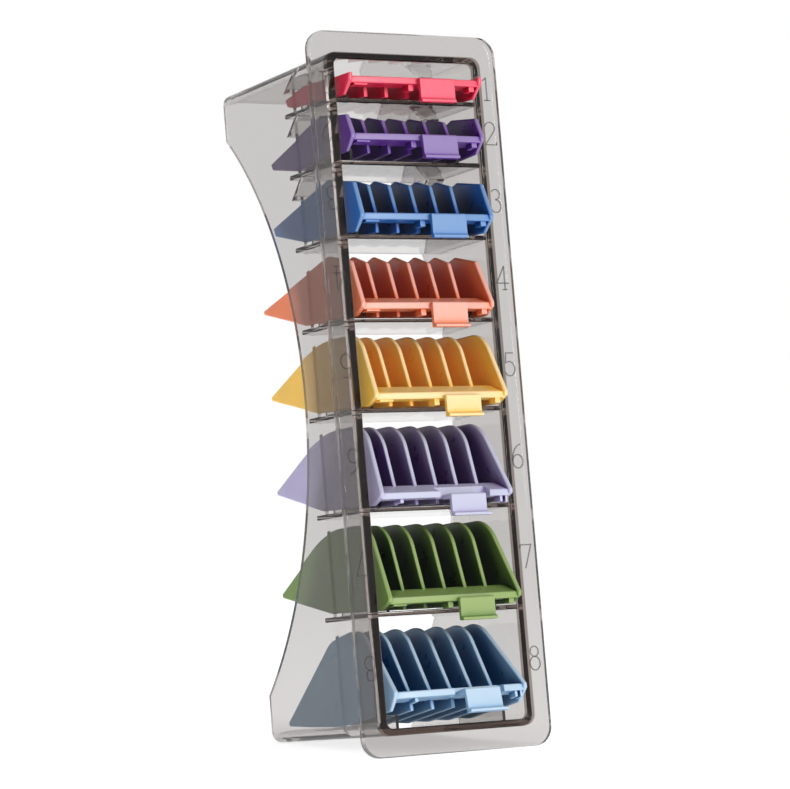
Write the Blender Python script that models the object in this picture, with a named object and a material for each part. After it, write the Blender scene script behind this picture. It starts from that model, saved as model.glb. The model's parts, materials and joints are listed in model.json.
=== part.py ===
"""Eight colour-coded clipper guard combs in their smoked storage stand.

The stand is a tall open-backed box behind a flat face frame. It stands on end and leans back a little, resting
on the lower edge of the frame and the rear lower edge of the box. Each guard lies in its own compartment with its
clip tab to the front, and slides out forwards.

Driving dimensions are in millimetres, in the stand's own axes: x to the right, y back from the front face, z up
along the stand from its middle. A guard's own z starts at the top of the shelf that it lies on.
"""

import math
from collections import namedtuple

import bmesh
import bpy
from mathutils import Matrix, Vector

MM = 0.001
GAP = 0.3  # clearance between neighbouring pieces

FRAME_WIDTH = 66.8
FRAME_HEIGHT = 215.5
FRAME_THICKNESS = 2.4
FRAME_CORNER = 6.0
OPENING_WIDTH = 49.6
OPENING_HEIGHT = 198.7
OPENING_CORNER = 2.0

BOX_WIDTH = 55.2
BOX_HEIGHT = 203.0
BOX_DEPTH = 63.2
DRAFT = math.radians(0.9)  # the box narrows towards its rear
SIDE_WALL = 1.6
END_WALL = (BOX_HEIGHT - OPENING_HEIGHT) / 2
SLEEVE_DEPTH = 21.5  # the side walls are thicker from the frame back to here
WAIST_DEPTH = 28.0  # depth of the side walls at the middle of their hollow rear edge
WAIST_HALF_HEIGHT = 87.1
WAIST_STEPS = 24

SHELF_THICKNESS = 1.4
SHELF_FRONT = 0.6
SHELF_REAR = 27.5
SHELF_SIDE_GAP = 0.7  # clearance to the thinner part of the side walls

# Low fins on each shelf that keep a guard straight as it slides
FIN_PLACE = 19.0
FIN_WIDTH = 1.0
FIN_HEIGHT = 4.0
FIN_FRONT = 4.0

# Bent strips that hold down the tails of the three lowest guards
HOLD_DOWN_INNER = 19.0
HOLD_DOWN_FRONT = 19.3
HOLD_DOWN_REAR = 27.5
HOLD_DOWN_THICKNESS = 1.0
HOLD_DOWN_HEIGHTS = {1: 6.4, 2: 11.9, 3: 14.6}  # the lip's underside above the guard's shelf
HOLD_DOWN_LIPS = {1: 4.0, 2: 3.0, 3: 3.4}

FOOT_CUT = 0.25  # how much the standing edges are flattened where they meet the ground

# The guards' shared parts
GUARD_WIDTH = 47.6
SIDE_PLATE = 1.5
RIB = 1.3
RIB_PITCH = 7.35
INNER_RIBS = 5
RIB_FRONT = 1.5
SIDE_FRONT = -4.3
SIDE_FOOT = 0.2
FOOT_HEIGHT = 0.35
HEEL = (27.0, 1.4)  # the underside rises from here to the tail
LEDGE_FRONT = -3.5
LEDGE_BOW = 0.6
LEDGE_REAR = 3.0
LEDGE_THICKNESS = 2.0
SLOPE_FRONT = -3.3  # the ledge's top slopes up from here to the feet of the ribs
SLOPE_REAR = 2.2
SLOPE_HIGH = 6.2
ROCK_CENTRE = 24.0  # a guard that lies nose up is turned about this depth

CLIP_LEFT = 0.2
CLIP_RIGHT = 12.6
CLIP_FRONT = -5.8
CLIP_THICKNESS = 1.3
LIP_HEIGHT = 1.3
ARM_THICKNESS = 1.4
ARM_REAR = -0.7
ARM_RELIEF = 2.75  # the ledge is cut away this far beside a clip on an arm
LIP_OVERHANG = 1.2

# Where each guard is kept, and its clip: nose_up is in degrees, forward and aside are how far it sits off its
# middle place, and the clip reaches from clip_high down to clip_low, where its lip turns out by lip. Each clip ends
# just above the guard below it, which slides out under it. An arm carries the clip through a notch in the ledge.
Place = namedtuple("Place", "shelf_top nose_up forward aside clip_high clip_low lip arm colour")
PLACES = [
    Place(87.7, 0.0, 1.6, 0.0, 5.2, -2.2, 0.5, False, (0.80, 0.02, 0.08)),
    Place(68.9, 5.0, 0.5, 0.3, 4.6, -2.8, 0.5, False, (0.10, 0.02, 0.26)),
    Place(46.7, 0.0, 1.5, 0.3, 5.2, -2.2, 0.5, False, (0.02, 0.11, 0.42)),
    Place(21.7, 0.0, -1.0, -0.3, 4.0, -3.7, 1.1, False, (0.80, 0.17, 0.06)),
    Place(-5.2, 0.0, 1.2, 0.3, 2.8, -3.8, 1.1, False, (0.90, 0.50, 0.03)),
    Place(-34.5, 0.0, 0.0, 0.0, 2.8, -3.9, 1.1, True, (0.52, 0.46, 0.78)),
    Place(-65.2, 0.0, 0.0, 0.0, 2.8, -4.1, 1.1, False, (0.16, 0.32, 0.05)),
    Place(-98.8, 10.0, 0.0, 0.0, 4.6, -2.8, 1.1, True, (0.26, 0.52, 0.78)),
]

# Each guard's shape: ledge is the height of the ledge's underside, crest that of the ribs' tops, and front_size the
# chamfer or radius of the ribs' front corner. The front edges lean back by rib_lean and side_lean degrees, and the
# side plates lean in by lean_in for each millimetre of height. The tail ends at tail_reach and tail_height, and
# falls to there at tail_angle degrees.
Guard = namedtuple(
    "Guard",
    "number ledge crest shape front_size rib_lean side_lean lean_in tail_reach tail_height tail_blunt tail_angle "
    "shoulder",
)
GUARDS = [
    Guard(1, 3.4, 6.8, "chamfer", 0.4, 15.0, 15.0, 0.0, 31.6, 4.9, 2.4, 9.0, 1.0),
    Guard(2, 3.0, 14.0, "chamfer", 3.0, 16.0, 18.0, 0.0, 41.6, 7.5, 2.0, 11.8, 1.0),
    Guard(3, 3.4, 17.8, "chamfer", 2.6, 17.0, 20.0, 0.03, 44.9, 8.6, 2.6, 15.6, 1.0),
    Guard(4, 2.1, 20.2, "chamfer", 2.9, 18.0, 24.0, 0.05, 52.6, 9.6, 1.2, 14.8, 1.0),
    Guard(5, 1.8, 22.5, "round", 9.0, 19.0, 24.0, 0.05, 55.3, 9.9, 1.2, 24.0, 50.0),
    Guard(6, 1.8, 25.1, "round", 10.0, 16.0, 26.0, 0.12, 55.6, 10.3, 1.2, 30.0, 44.0),
    Guard(7, 1.8, 26.4, "round", 10.0, 17.0, 27.0, 0.08, 56.6, 9.6, 1.2, 32.0, 34.0),
    Guard(8, 3.2, 28.1, "round", 10.0, 20.0, 33.0, 0.10, 56.3, 9.8, 1.2, 33.0, 8.0),
]


def clear_scene():
    for obj in list(bpy.data.objects):
        bpy.data.objects.remove(obj, do_unlink=True)


def plastic(name, colour, roughness, transmission=0.0):
    material = bpy.data.materials.new(name)
    material.use_nodes = True
    shader = material.node_tree.nodes["Principled BSDF"]
    shader.inputs["Base Color"].default_value = (*colour, 1.0)
    shader.inputs["Roughness"].default_value = roughness
    shader.inputs["Metallic"].default_value = 0.0
    shader.inputs["Transmission Weight"].default_value = transmission
    return material


def rounded(corners, radii, steps=5):
    """The closed outline through the corners, with an arc of the given radius at each one that has a radius."""
    outline = []
    count = len(corners)
    for index, (corner, radius) in enumerate(zip(corners, radii)):
        here = Vector(corner)
        if not radius:
            outline.append(here)
            continue
        to_last = (Vector(corners[index - 1]) - here).normalized()
        to_next = (Vector(corners[(index + 1) % count]) - here).normalized()
        half = to_last.angle(to_next) / 2
        centre = here + (to_last + to_next).normalized() * radius / math.sin(half)
        start = here + to_last * radius / math.tan(half) - centre
        finish = here + to_next * radius / math.tan(half) - centre
        turn = start.angle_signed(finish)
        for step in range(steps + 1):
            arm = Matrix.Rotation(-turn * step / steps, 2) @ start
            outline.append(centre + arm)
    return outline


def rounded_rectangle(width, height, radius, steps=5):
    x, z = width / 2, height / 2
    return rounded([(-x, -z), (x, -z), (x, z), (-x, z)], [radius] * 4, steps)


def extrude(mesh, outline, axis, low, high):
    """Adds a prism of the outline to a bmesh, along x, y or z, with its two ends at low and high."""
    places = {
        "x": lambda point: (low, point[0], point[1]),
        "y": lambda point: (point[0], low, point[1]),
        "z": lambda point: (point[0], point[1], low),
    }
    face = mesh.faces.new([mesh.verts.new(Vector(places[axis](point)) * MM) for point in outline])
    moved = bmesh.ops.extrude_face_region(mesh, geom=[face])
    travel = Vector({"x": (1, 0, 0), "y": (0, 1, 0), "z": (0, 0, 1)}[axis]) * (high - low) * MM
    ends = [item for item in moved["geom"] if isinstance(item, bmesh.types.BMVert)]
    bmesh.ops.translate(mesh, verts=ends, vec=travel)


def box(mesh, low, high):
    corners = [(low[0], low[1]), (high[0], low[1]), (high[0], high[1]), (low[0], high[1])]
    extrude(mesh, corners, "z", low[2], high[2])


def taper(mesh):
    """Narrows a piece of the box towards the rear, by the mould's draft."""
    for vertex in mesh.verts:
        closing = vertex.co.y * math.tan(DRAFT) / MM
        vertex.co.x *= 1 - closing / (BOX_WIDTH / 2)
        vertex.co.z *= 1 - closing / (BOX_HEIGHT / 2)


def finished(name, mesh, material, parent, place=(0.0, 0.0, 0.0)):
    """Turns a bmesh into a named object under its parent."""
    bmesh.ops.recalc_face_normals(mesh, faces=mesh.faces)
    data = bpy.data.meshes.new(name)
    mesh.to_mesh(data)
    mesh.free()
    data.shade_smooth()
    data.set_sharp_from_angle(angle=math.radians(30))
    obj = bpy.data.objects.new(name, data)
    bpy.context.collection.objects.link(obj)
    obj.parent = parent
    obj.location = Vector(place) * MM
    if material:
        data.materials.append(material)
    return obj


def helper(name, mesh, parent, place=(0.0, 0.0, 0.0)):
    obj = finished(name, mesh, None, parent, place)
    obj.hide_render = True
    obj.display_type = "WIRE"
    return obj


def combine(obj, other, operation):
    modifier = obj.modifiers.new(operation.title(), "BOOLEAN")
    modifier.operation = operation
    modifier.solver = "EXACT"
    modifier.object = other


def empty(name, parent, place, turn=0.0):
    obj = bpy.data.objects.new(name, None)
    bpy.context.collection.objects.link(obj)
    obj.parent = parent
    obj.location = Vector(place) * MM
    obj.rotation_euler = (turn, 0.0, 0.0)
    return obj


def lean_angle():
    """How far the stand leans back when both its standing edges touch the ground."""
    overhang = (FRAME_HEIGHT - BOX_HEIGHT) / 2 + BOX_DEPTH * math.tan(DRAFT)
    return math.atan2(overhang, BOX_DEPTH - FRAME_THICKNESS)


def stand_axes():
    lean = lean_angle()
    height = FRAME_THICKNESS * math.sin(lean) + FRAME_HEIGHT / 2 * math.cos(lean) - FOOT_CUT
    return empty("stand_axes", None, (0.0, 0.0, height), -lean)


def face_frame(smoke, axes, ground):
    mesh = bmesh.new()
    extrude(mesh, rounded_rectangle(FRAME_WIDTH, FRAME_HEIGHT, FRAME_CORNER, 6), "y", 0.0, FRAME_THICKNESS)
    frame = finished("front_frame", mesh, smoke, axes)
    mesh = bmesh.new()
    opening = rounded_rectangle(OPENING_WIDTH, OPENING_HEIGHT, OPENING_CORNER, 4)
    extrude(mesh, opening, "y", -1.0, FRAME_THICKNESS + 1.0)
    combine(frame, helper("opening_cutter", mesh, axes), "DIFFERENCE")
    combine(frame, ground, "DIFFERENCE")


def side_outline():
    """A side wall seen from the side: straight at the top and bottom, with one arc hollowed out of its rear edge."""
    front = FRAME_THICKNESS + GAP
    high = BOX_HEIGHT / 2 - END_WALL - GAP
    hollow = BOX_DEPTH - WAIST_DEPTH
    radius = (WAIST_HALF_HEIGHT**2 + hollow**2) / (2 * hollow)
    outline = [(front, high), (front, -high), (BOX_DEPTH, -high)]
    for step in range(WAIST_STEPS + 1):
        z = WAIST_HALF_HEIGHT * (2 * step / WAIST_STEPS - 1)
        outline.append((WAIST_DEPTH + radius - math.sqrt(radius**2 - z**2), z))
    outline.append((BOX_DEPTH, high))
    return outline


def side_wall(name, side, smoke, axes, ground):
    outer = side * BOX_WIDTH / 2
    mesh = bmesh.new()
    extrude(mesh, side_outline(), "x", outer, outer - side * SIDE_WALL)
    taper(mesh)
    wall = finished(name, mesh, smoke, axes)
    mesh = bmesh.new()
    high = BOX_HEIGHT / 2 - END_WALL - GAP
    faces = sorted((side * OPENING_WIDTH / 2, outer - side * SIDE_WALL / 2))
    box(mesh, (faces[0], FRAME_THICKNESS + GAP, -high), (faces[1], SLEEVE_DEPTH, high))
    taper(mesh)
    combine(wall, helper(name + "_sleeve", mesh, axes), "UNION")
    combine(wall, ground, "DIFFERENCE")


def fins(mesh, top):
    """A pair of guide fins that stand on a shelf or the floor, sunk a little into it."""
    for side in (-1, 1):
        middle = side * FIN_PLACE
        low = (middle - FIN_WIDTH / 2, FIN_FRONT, top - SHELF_THICKNESS / 2)
        box(mesh, low, (middle + FIN_WIDTH / 2, SHELF_REAR - GAP, top + FIN_HEIGHT))


def top_wall(smoke, axes):
    half = BOX_WIDTH / 2
    mesh = bmesh.new()
    box(mesh, (-half, FRAME_THICKNESS + GAP, BOX_HEIGHT / 2 - END_WALL), (half, BOX_DEPTH, BOX_HEIGHT / 2))
    taper(mesh)
    finished("top_wall", mesh, smoke, axes)


def bottom_wall(smoke, axes, ground):
    half = BOX_WIDTH / 2
    floor = END_WALL - BOX_HEIGHT / 2
    mesh = bmesh.new()
    box(mesh, (-half, FRAME_THICKNESS + GAP, -BOX_HEIGHT / 2), (half, BOX_DEPTH, floor))
    taper(mesh)
    wall = finished("bottom_wall", mesh, smoke, axes)
    mesh = bmesh.new()
    fins(mesh, floor)
    taper(mesh)
    combine(wall, helper("floor_fins", mesh, axes), "UNION")
    combine(wall, ground, "DIFFERENCE")


def shelf(number, top, smoke, axes):
    """A plate with two guide fins on it, a little wider behind the thick front part of the side walls."""
    narrow = OPENING_WIDTH / 2 - GAP
    wide = BOX_WIDTH / 2 - SIDE_WALL - SHELF_SIDE_GAP
    step = SLEEVE_DEPTH + GAP
    outline = [
        (-narrow, SHELF_FRONT),
        (narrow, SHELF_FRONT),
        (narrow, step),
        (wide, step),
        (wide, SHELF_REAR),
        (-wide, SHELF_REAR),
        (-wide, step),
        (-narrow, step),
    ]
    mesh = bmesh.new()
    extrude(mesh, outline, "z", top - SHELF_THICKNESS, top)
    taper(mesh)
    plate = finished(f"shelf_{number}", mesh, smoke, axes)
    mesh = bmesh.new()
    fins(mesh, top)
    taper(mesh)
    combine(plate, helper(f"shelf_{number}_fins", mesh, axes), "UNION")


def hold_downs(number, top, ceiling, smoke, axes):
    """Two bent strips, one along each side wall, that slope down from the ceiling and end in a lip to the front."""
    high = ceiling - GAP
    low = top + HOLD_DOWN_HEIGHTS[number]
    thick = HOLD_DOWN_THICKNESS
    lip = HOLD_DOWN_REAR - HOLD_DOWN_LIPS[number]
    across = thick * 1.5  # the slanting strip's thickness, measured along y
    lean = (HOLD_DOWN_REAR - HOLD_DOWN_FRONT - across) / (high - low)
    outline = [
        (HOLD_DOWN_FRONT, high),
        (HOLD_DOWN_REAR - across - lean * thick, low + thick),
        (lip, low + thick),
        (lip, low),
        (HOLD_DOWN_REAR, low),
        (HOLD_DOWN_FRONT + across, high),
    ]
    for name, side in (("left", -1), ("right", 1)):
        mesh = bmesh.new()
        extrude(mesh, outline, "x", side * HOLD_DOWN_INNER, side * (OPENING_WIDTH / 2 - GAP))
        taper(mesh)
        finished(f"hold_down_{number}_{name}", mesh, smoke, axes)


def rib_outline(guard, front, low, lean, foot):
    """One rib seen from the side, from its foot round the tail and over the crest.

    The front edge leans back from (front, low), and the foot starts at the depth called foot.
    """
    lean = math.tan(math.radians(lean))
    slope = math.tan(math.radians(guard.tail_angle))
    shoulder_y = guard.tail_reach - (guard.crest - guard.tail_height) / slope
    crest_y = front + (guard.crest - low) * lean
    corners = [
        (foot, FOOT_HEIGHT),
        HEEL,
        (guard.tail_reach - guard.tail_blunt * 0.4, guard.tail_height - guard.tail_blunt),
        (guard.tail_reach, guard.tail_height),
        (shoulder_y, guard.crest),
    ]
    radii = [0.0, 0.0, 0.0, 0.0, guard.shoulder if guard.shape == "round" else 0.0]
    if guard.shape == "round":
        corners.append((crest_y, guard.crest))
        radii.append(guard.front_size)
    else:
        step = guard.front_size
        corners.append((crest_y - step * lean, guard.crest - step))
        radii.append(0.0)
    corners.append((front, low))
    radii.append(0.0)
    return rounded(corners, radii, 6)


def side_outline_of(guard):
    """A side plate has a rib's shape, with its front hooked back below the ledge."""
    outline = rib_outline(guard, SIDE_FRONT, guard.ledge + LEDGE_THICKNESS, guard.side_lean, SIDE_FOOT)
    return outline + [Vector((SIDE_FRONT + 0.3, guard.ledge + 0.6))]


def rib_places():
    middle = (INNER_RIBS - 1) / 2
    return [(index - middle) * RIB_PITCH for index in range(INNER_RIBS)]


def ledge_half():
    """Half the length of the ledge, whose ends are sunk into the side plates."""
    return GUARD_WIDTH / 2 - SIDE_PLATE + 0.5


def ledge_outline():
    """The front ledge seen from above, with its front edge bowed forwards."""
    half = ledge_half()
    outline = [(half, LEDGE_REAR), (-half, LEDGE_REAR)]
    for step in range(-3, 4):
        share = step / 3
        outline.append((half * share, LEDGE_FRONT - LEDGE_BOW * (1 - share**2)))
    return outline


def slope_outline(ledge):
    """The sloping top of the ledge, seen from the side."""
    middle = ledge + LEDGE_THICKNESS / 2
    return [
        (SLOPE_FRONT, middle),
        (LEDGE_REAR - 0.2, middle),
        (LEDGE_REAR - 0.2, SLOPE_HIGH),
        (SLOPE_REAR, SLOPE_HIGH),
        (SLOPE_FRONT, ledge + LEDGE_THICKNESS + 0.1),
    ]


def lugs(mesh, ledge, arm):
    """The small blocks under the ledge that locate the guard on a clipper blade, each (left, right, drop)."""
    front = LEDGE_FRONT + 0.3
    if arm:
        blocks = [(-16.2, -15.0, 1.2), (19.3, 20.2, 1.8), (21.2, 22.0, 2.0)]
    else:
        blocks = [(-21.5, -16.8, 0.6), (-2.4, -0.6, 1.9), (19.4, 21.3, 1.5)]
    for left, right, drop in blocks:
        box(mesh, (left, front, ledge - drop), (right, front + 3.2, ledge + 0.6))


def side_plates(mesh, guard):
    """Adds the two side plates, leaning in towards each other."""
    outer = GUARD_WIDTH / 2
    side = side_outline_of(guard)
    extrude(mesh, side, "x", -outer, -outer + SIDE_PLATE)
    extrude(mesh, side, "x", outer - SIDE_PLATE, outer)
    for vertex in mesh.verts:
        rise = vertex.co.z - guard.ledge * MM
        vertex.co.x -= math.copysign(guard.lean_in * rise, vertex.co.x)


def guard_body(guard, arm, material, seat):
    """Side plates, inner ribs and lugs joined to the front ledge."""
    place = (0.0, -ROCK_CENTRE, 0.0)
    mesh = bmesh.new()
    extrude(mesh, ledge_outline(), "z", guard.ledge, guard.ledge + LEDGE_THICKNESS)
    body = finished(f"guard_{guard.number}", mesh, material, seat, place)
    mesh = bmesh.new()
    half = ledge_half() - 0.1
    extrude(mesh, slope_outline(guard.ledge), "x", -half, half)
    combine(body, helper(f"guard_{guard.number}_slope", mesh, seat, place), "UNION")
    if arm:
        mesh = bmesh.new()
        low = (CLIP_LEFT - ARM_RELIEF, LEDGE_FRONT - 3.0, guard.ledge - 1.0)
        box(mesh, low, (CLIP_RIGHT + ARM_RELIEF, ARM_REAR + GAP, SLOPE_HIGH + 1.0))
        combine(body, helper(f"guard_{guard.number}_notch", mesh, seat, place), "DIFFERENCE")
    mesh = bmesh.new()
    side_plates(mesh, guard)
    inner = rib_outline(guard, RIB_FRONT, SLOPE_HIGH - 0.2, guard.rib_lean, RIB_FRONT)
    for x in rib_places():
        extrude(mesh, inner, "x", x - RIB / 2, x + RIB / 2)
    lugs(mesh, guard.ledge, arm)
    combine(body, helper(f"guard_{guard.number}_ribs", mesh, seat, place), "UNION")


def clip_hinge(high, arm):
    """Where the clip bends, as (y, z) in the guard's own axes."""
    if arm:
        return (ARM_REAR, high - ARM_THICKNESS)
    return (CLIP_FRONT + CLIP_THICKNESS, high - 1.0)


def guard_clip(number, place, material, seat):
    """The tab in front of the ledge, with a lip turned out along its lower edge."""
    rear = CLIP_FRONT + CLIP_THICKNESS
    high = place.clip_high
    low = place.clip_low
    tip = CLIP_FRONT - place.lip
    outline = [
        (rear, high),
        (rear, low),
        (tip, low),
        (tip, low + LIP_HEIGHT * 0.6),
        (CLIP_FRONT, low + LIP_HEIGHT),
        (CLIP_FRONT, high),
    ]
    if place.arm:
        arm_low = high - ARM_THICKNESS
        outline[0:1] = [(ARM_REAR, high), (ARM_REAR, arm_low), (rear, arm_low)]
    hinge_y, hinge_z = clip_hinge(high, place.arm)
    half = (CLIP_RIGHT - CLIP_LEFT) / 2
    mesh = bmesh.new()
    extrude(mesh, [(y - hinge_y, z - hinge_z) for y, z in outline], "x", -half, half)
    hinge = (CLIP_LEFT + half, hinge_y - ROCK_CENTRE, hinge_z)
    clip = finished(f"guard_{number}_clip", mesh, material, seat, hinge)
    if place.arm:
        mesh = bmesh.new()
        near = (-half + 0.2, tip - hinge_y, low - hinge_z)
        box(mesh, near, (half + LIP_OVERHANG, rear - hinge_y - 0.1, low + LIP_HEIGHT * 0.6 - hinge_z))
        combine(clip, helper(f"guard_{number}_lip", mesh, seat, hinge), "UNION")


def centre_on_origin(axes):
    """Slides the whole stand so that the middle of its box lies over the origin."""
    bpy.context.view_layer.update()
    depths = []
    for obj in bpy.data.objects:
        if obj.type == "MESH" and not obj.hide_render:
            depths += [(obj.matrix_world @ vertex.co).y for vertex in obj.data.vertices]
    axes.location.y -= (min(depths) + max(depths)) / 2


def main():
    clear_scene()
    axes = stand_axes()
    smoke = plastic("smoked_plastic", (0.32, 0.30, 0.28), 0.08, 0.6)
    mesh = bmesh.new()
    box(mesh, (-60.0, -150.0, -20.0), (60.0, 150.0, 0.0))
    ground = helper("ground_cutter", mesh, None)

    face_frame(smoke, axes, ground)
    side_wall("left_wall", -1, smoke, axes, ground)
    side_wall("right_wall", 1, smoke, axes, ground)
    top_wall(smoke, axes)
    bottom_wall(smoke, axes, ground)

    ceiling = BOX_HEIGHT / 2 - END_WALL
    for guard, place in zip(GUARDS, PLACES):
        top = place.shelf_top
        if guard.number < len(GUARDS):
            shelf(guard.number, top, smoke, axes)
        if guard.number in HOLD_DOWN_HEIGHTS:
            hold_downs(guard.number, top, ceiling, smoke, axes)
        ceiling = top - SHELF_THICKNESS
        centre = (place.aside, ROCK_CENTRE - place.forward, top)
        seat = empty(f"seat_{guard.number}", axes, centre, -math.radians(place.nose_up))
        material = plastic(f"guard_{guard.number}_plastic", place.colour, 0.35)
        guard_body(guard, place.arm, material, seat)
        guard_clip(guard.number, place, material, seat)
    centre_on_origin(axes)


main()
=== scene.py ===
"""The looks of eight colour-coded clipper guard combs in their smoked storage stand.

Lengths are in millimetres, in two sets of axes. The stand's own: x to the right, y back from its front
face, z up along it from its middle. A guard's own: the same directions, with z starting at the top of its
shelf.
"""

import json
import math
from collections import namedtuple

import bmesh
import bpy
from mathutils import Matrix, Vector


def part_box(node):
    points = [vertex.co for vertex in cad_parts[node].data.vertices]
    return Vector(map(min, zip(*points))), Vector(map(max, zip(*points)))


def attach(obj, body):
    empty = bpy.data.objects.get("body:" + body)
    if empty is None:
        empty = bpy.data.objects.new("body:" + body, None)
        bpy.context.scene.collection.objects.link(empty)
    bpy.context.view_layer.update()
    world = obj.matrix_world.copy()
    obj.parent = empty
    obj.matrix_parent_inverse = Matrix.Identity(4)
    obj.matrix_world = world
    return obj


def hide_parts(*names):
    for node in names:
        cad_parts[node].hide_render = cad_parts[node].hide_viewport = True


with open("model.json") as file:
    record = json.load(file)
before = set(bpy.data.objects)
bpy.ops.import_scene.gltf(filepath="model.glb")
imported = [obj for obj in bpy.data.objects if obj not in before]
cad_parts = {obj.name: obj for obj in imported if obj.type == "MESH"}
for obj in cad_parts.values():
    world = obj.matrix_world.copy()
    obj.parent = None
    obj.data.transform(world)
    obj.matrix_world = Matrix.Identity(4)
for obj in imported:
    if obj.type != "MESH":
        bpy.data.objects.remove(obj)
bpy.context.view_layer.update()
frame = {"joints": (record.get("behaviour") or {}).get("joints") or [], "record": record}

MM = 0.001
GAP = 0.3  # clearance between neighbouring pieces
SHARP = math.radians(32.0)  # edges sharper than this stay sharp

# The front frame
FRAME_WIDTH = 66.8
FRAME_HEIGHT = 215.5
FRAME_THICKNESS = 2.4
FRAME_CORNER = 6.0
FRAME_EDGE = 0.5
OPENING_WIDTH = 49.6
OPENING_HEIGHT = 198.7
OPENING_CORNER = 2.0
OPENING_EDGE = 0.6

# The box behind it
BOX_WIDTH = 55.2
BOX_HEIGHT = 203.0
BOX_DEPTH = 63.2
BOX_CORNER = 3.6
BOX_EDGE = 0.5
DRAFT = math.radians(0.9)  # the box narrows towards its rear
SIDE_WALL = 1.6
SLEEVE_DEPTH = 21.5  # the side walls are thicker from the frame back to here
SLEEVE_STEP = 0.8
WAIST_DEPTH = 28.0  # depth of the side walls at the middle of their hollow rear edge
WAIST_HALF_HEIGHT = 87.1
WAIST_STEPS = 96

# The shelves
SHELF_TOPS = [87.7, 68.9, 46.7, 21.7, -5.2, -34.5, -65.2]
SHELF_THICKNESS = 1.4
SHELF_FRONT = 0.6
SHELF_REAR = 27.5
SHELF_EDGE = 0.5
JOINED = BOX_WIDTH / 2 - 1.0  # shelves and strips run this far out, into the side walls

# The guide fins on the shelves and on the floor of the box
FIN_PLACE = 19.0
FIN_WIDTH = 1.0
FIN_HEIGHT = 4.0
FIN_FRONT = 4.0
FIN_EDGE = 0.35

# The strips that hold down the three shortest guards
HOLD_DOWN_INNER = 19.0
HOLD_DOWN_FRONT = 19.3
HOLD_DOWN_REAR = 27.5
HOLD_DOWN_THICKNESS = 1.0
HOLD_DOWN_SUNK = 0.6  # how far a strip runs up into its ceiling
HOLD_DOWN_HEIGHTS = [6.4, 11.9, 14.6]  # the lip's underside above the guard's shelf
HOLD_DOWN_LIPS = [4.0, 3.0, 3.4]

# The numerals in the frame
NUMERAL_HEIGHT = 7.3
NUMERAL_STROKE = 0.4
NUMERAL_DEPTH = 0.3
NUMERAL_PROUD = 0.02
NUMERAL_PLACE = 29.2
NUMERAL_LEVELS = [88.0, 74.3, 53.6, 29.8, 3.6, -24.4, -54.6, -85.2]

# What all guards share
GUARD_WIDTH = 47.6
SIDE_PLATE = 1.5
SIDE_EDGE = 0.6
RIB = 1.3
RIB_EDGE = 0.4
RIB_PITCH = 7.35
INNER_RIBS = 5
RIB_FRONT = 1.5
SIDE_FRONT = -4.3
SIDE_FOOT = 0.2
FOOT_HEIGHT = 0.35
HEEL = (27.0, 1.4)  # the underside rises from here to the tail
LEDGE_FRONT = -3.5
LEDGE_BOW = 0.6
LEDGE_REAR = 3.0
LEDGE_THICKNESS = 2.0
LEDGE_EDGE = 0.35
LEDGE_SUNK = 0.5  # how far the ledge runs into the side plates
SLOPE_FRONT = -3.3  # the ledge's top slopes up from here to the feet of the ribs
SLOPE_REAR = 2.2
SLOPE_HIGH = 6.2
SLOPE_SUNK = 0.4
SLOPE_INSET = 0.3

# The lugs below the ledge: left and right ends, and the drop below the ledge
LUGS = [(-21.5, -16.8, 0.6), (-2.4, -0.6, 1.9), (19.4, 21.3, 1.5)]
ARM_LUGS = [(-16.2, -15.0, 1.2), (19.3, 20.2, 1.8), (21.2, 22.0, 2.0)]
LUG_DEPTH = 3.2

# The clips
CLIP_LEFT = 0.2
CLIP_RIGHT = 12.6
CLIP_FRONT = -5.8
CLIP_THICKNESS = 1.3
CLIP_EDGE = 0.25
LIP_HEIGHT = 1.3
LIP_OVERHANG = 1.2
ARM_THICKNESS = 1.4
ARM_REAR = -0.7
ARM_RELIEF = 2.75  # the ledge is cut away this far beside a clip on an arm

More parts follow.
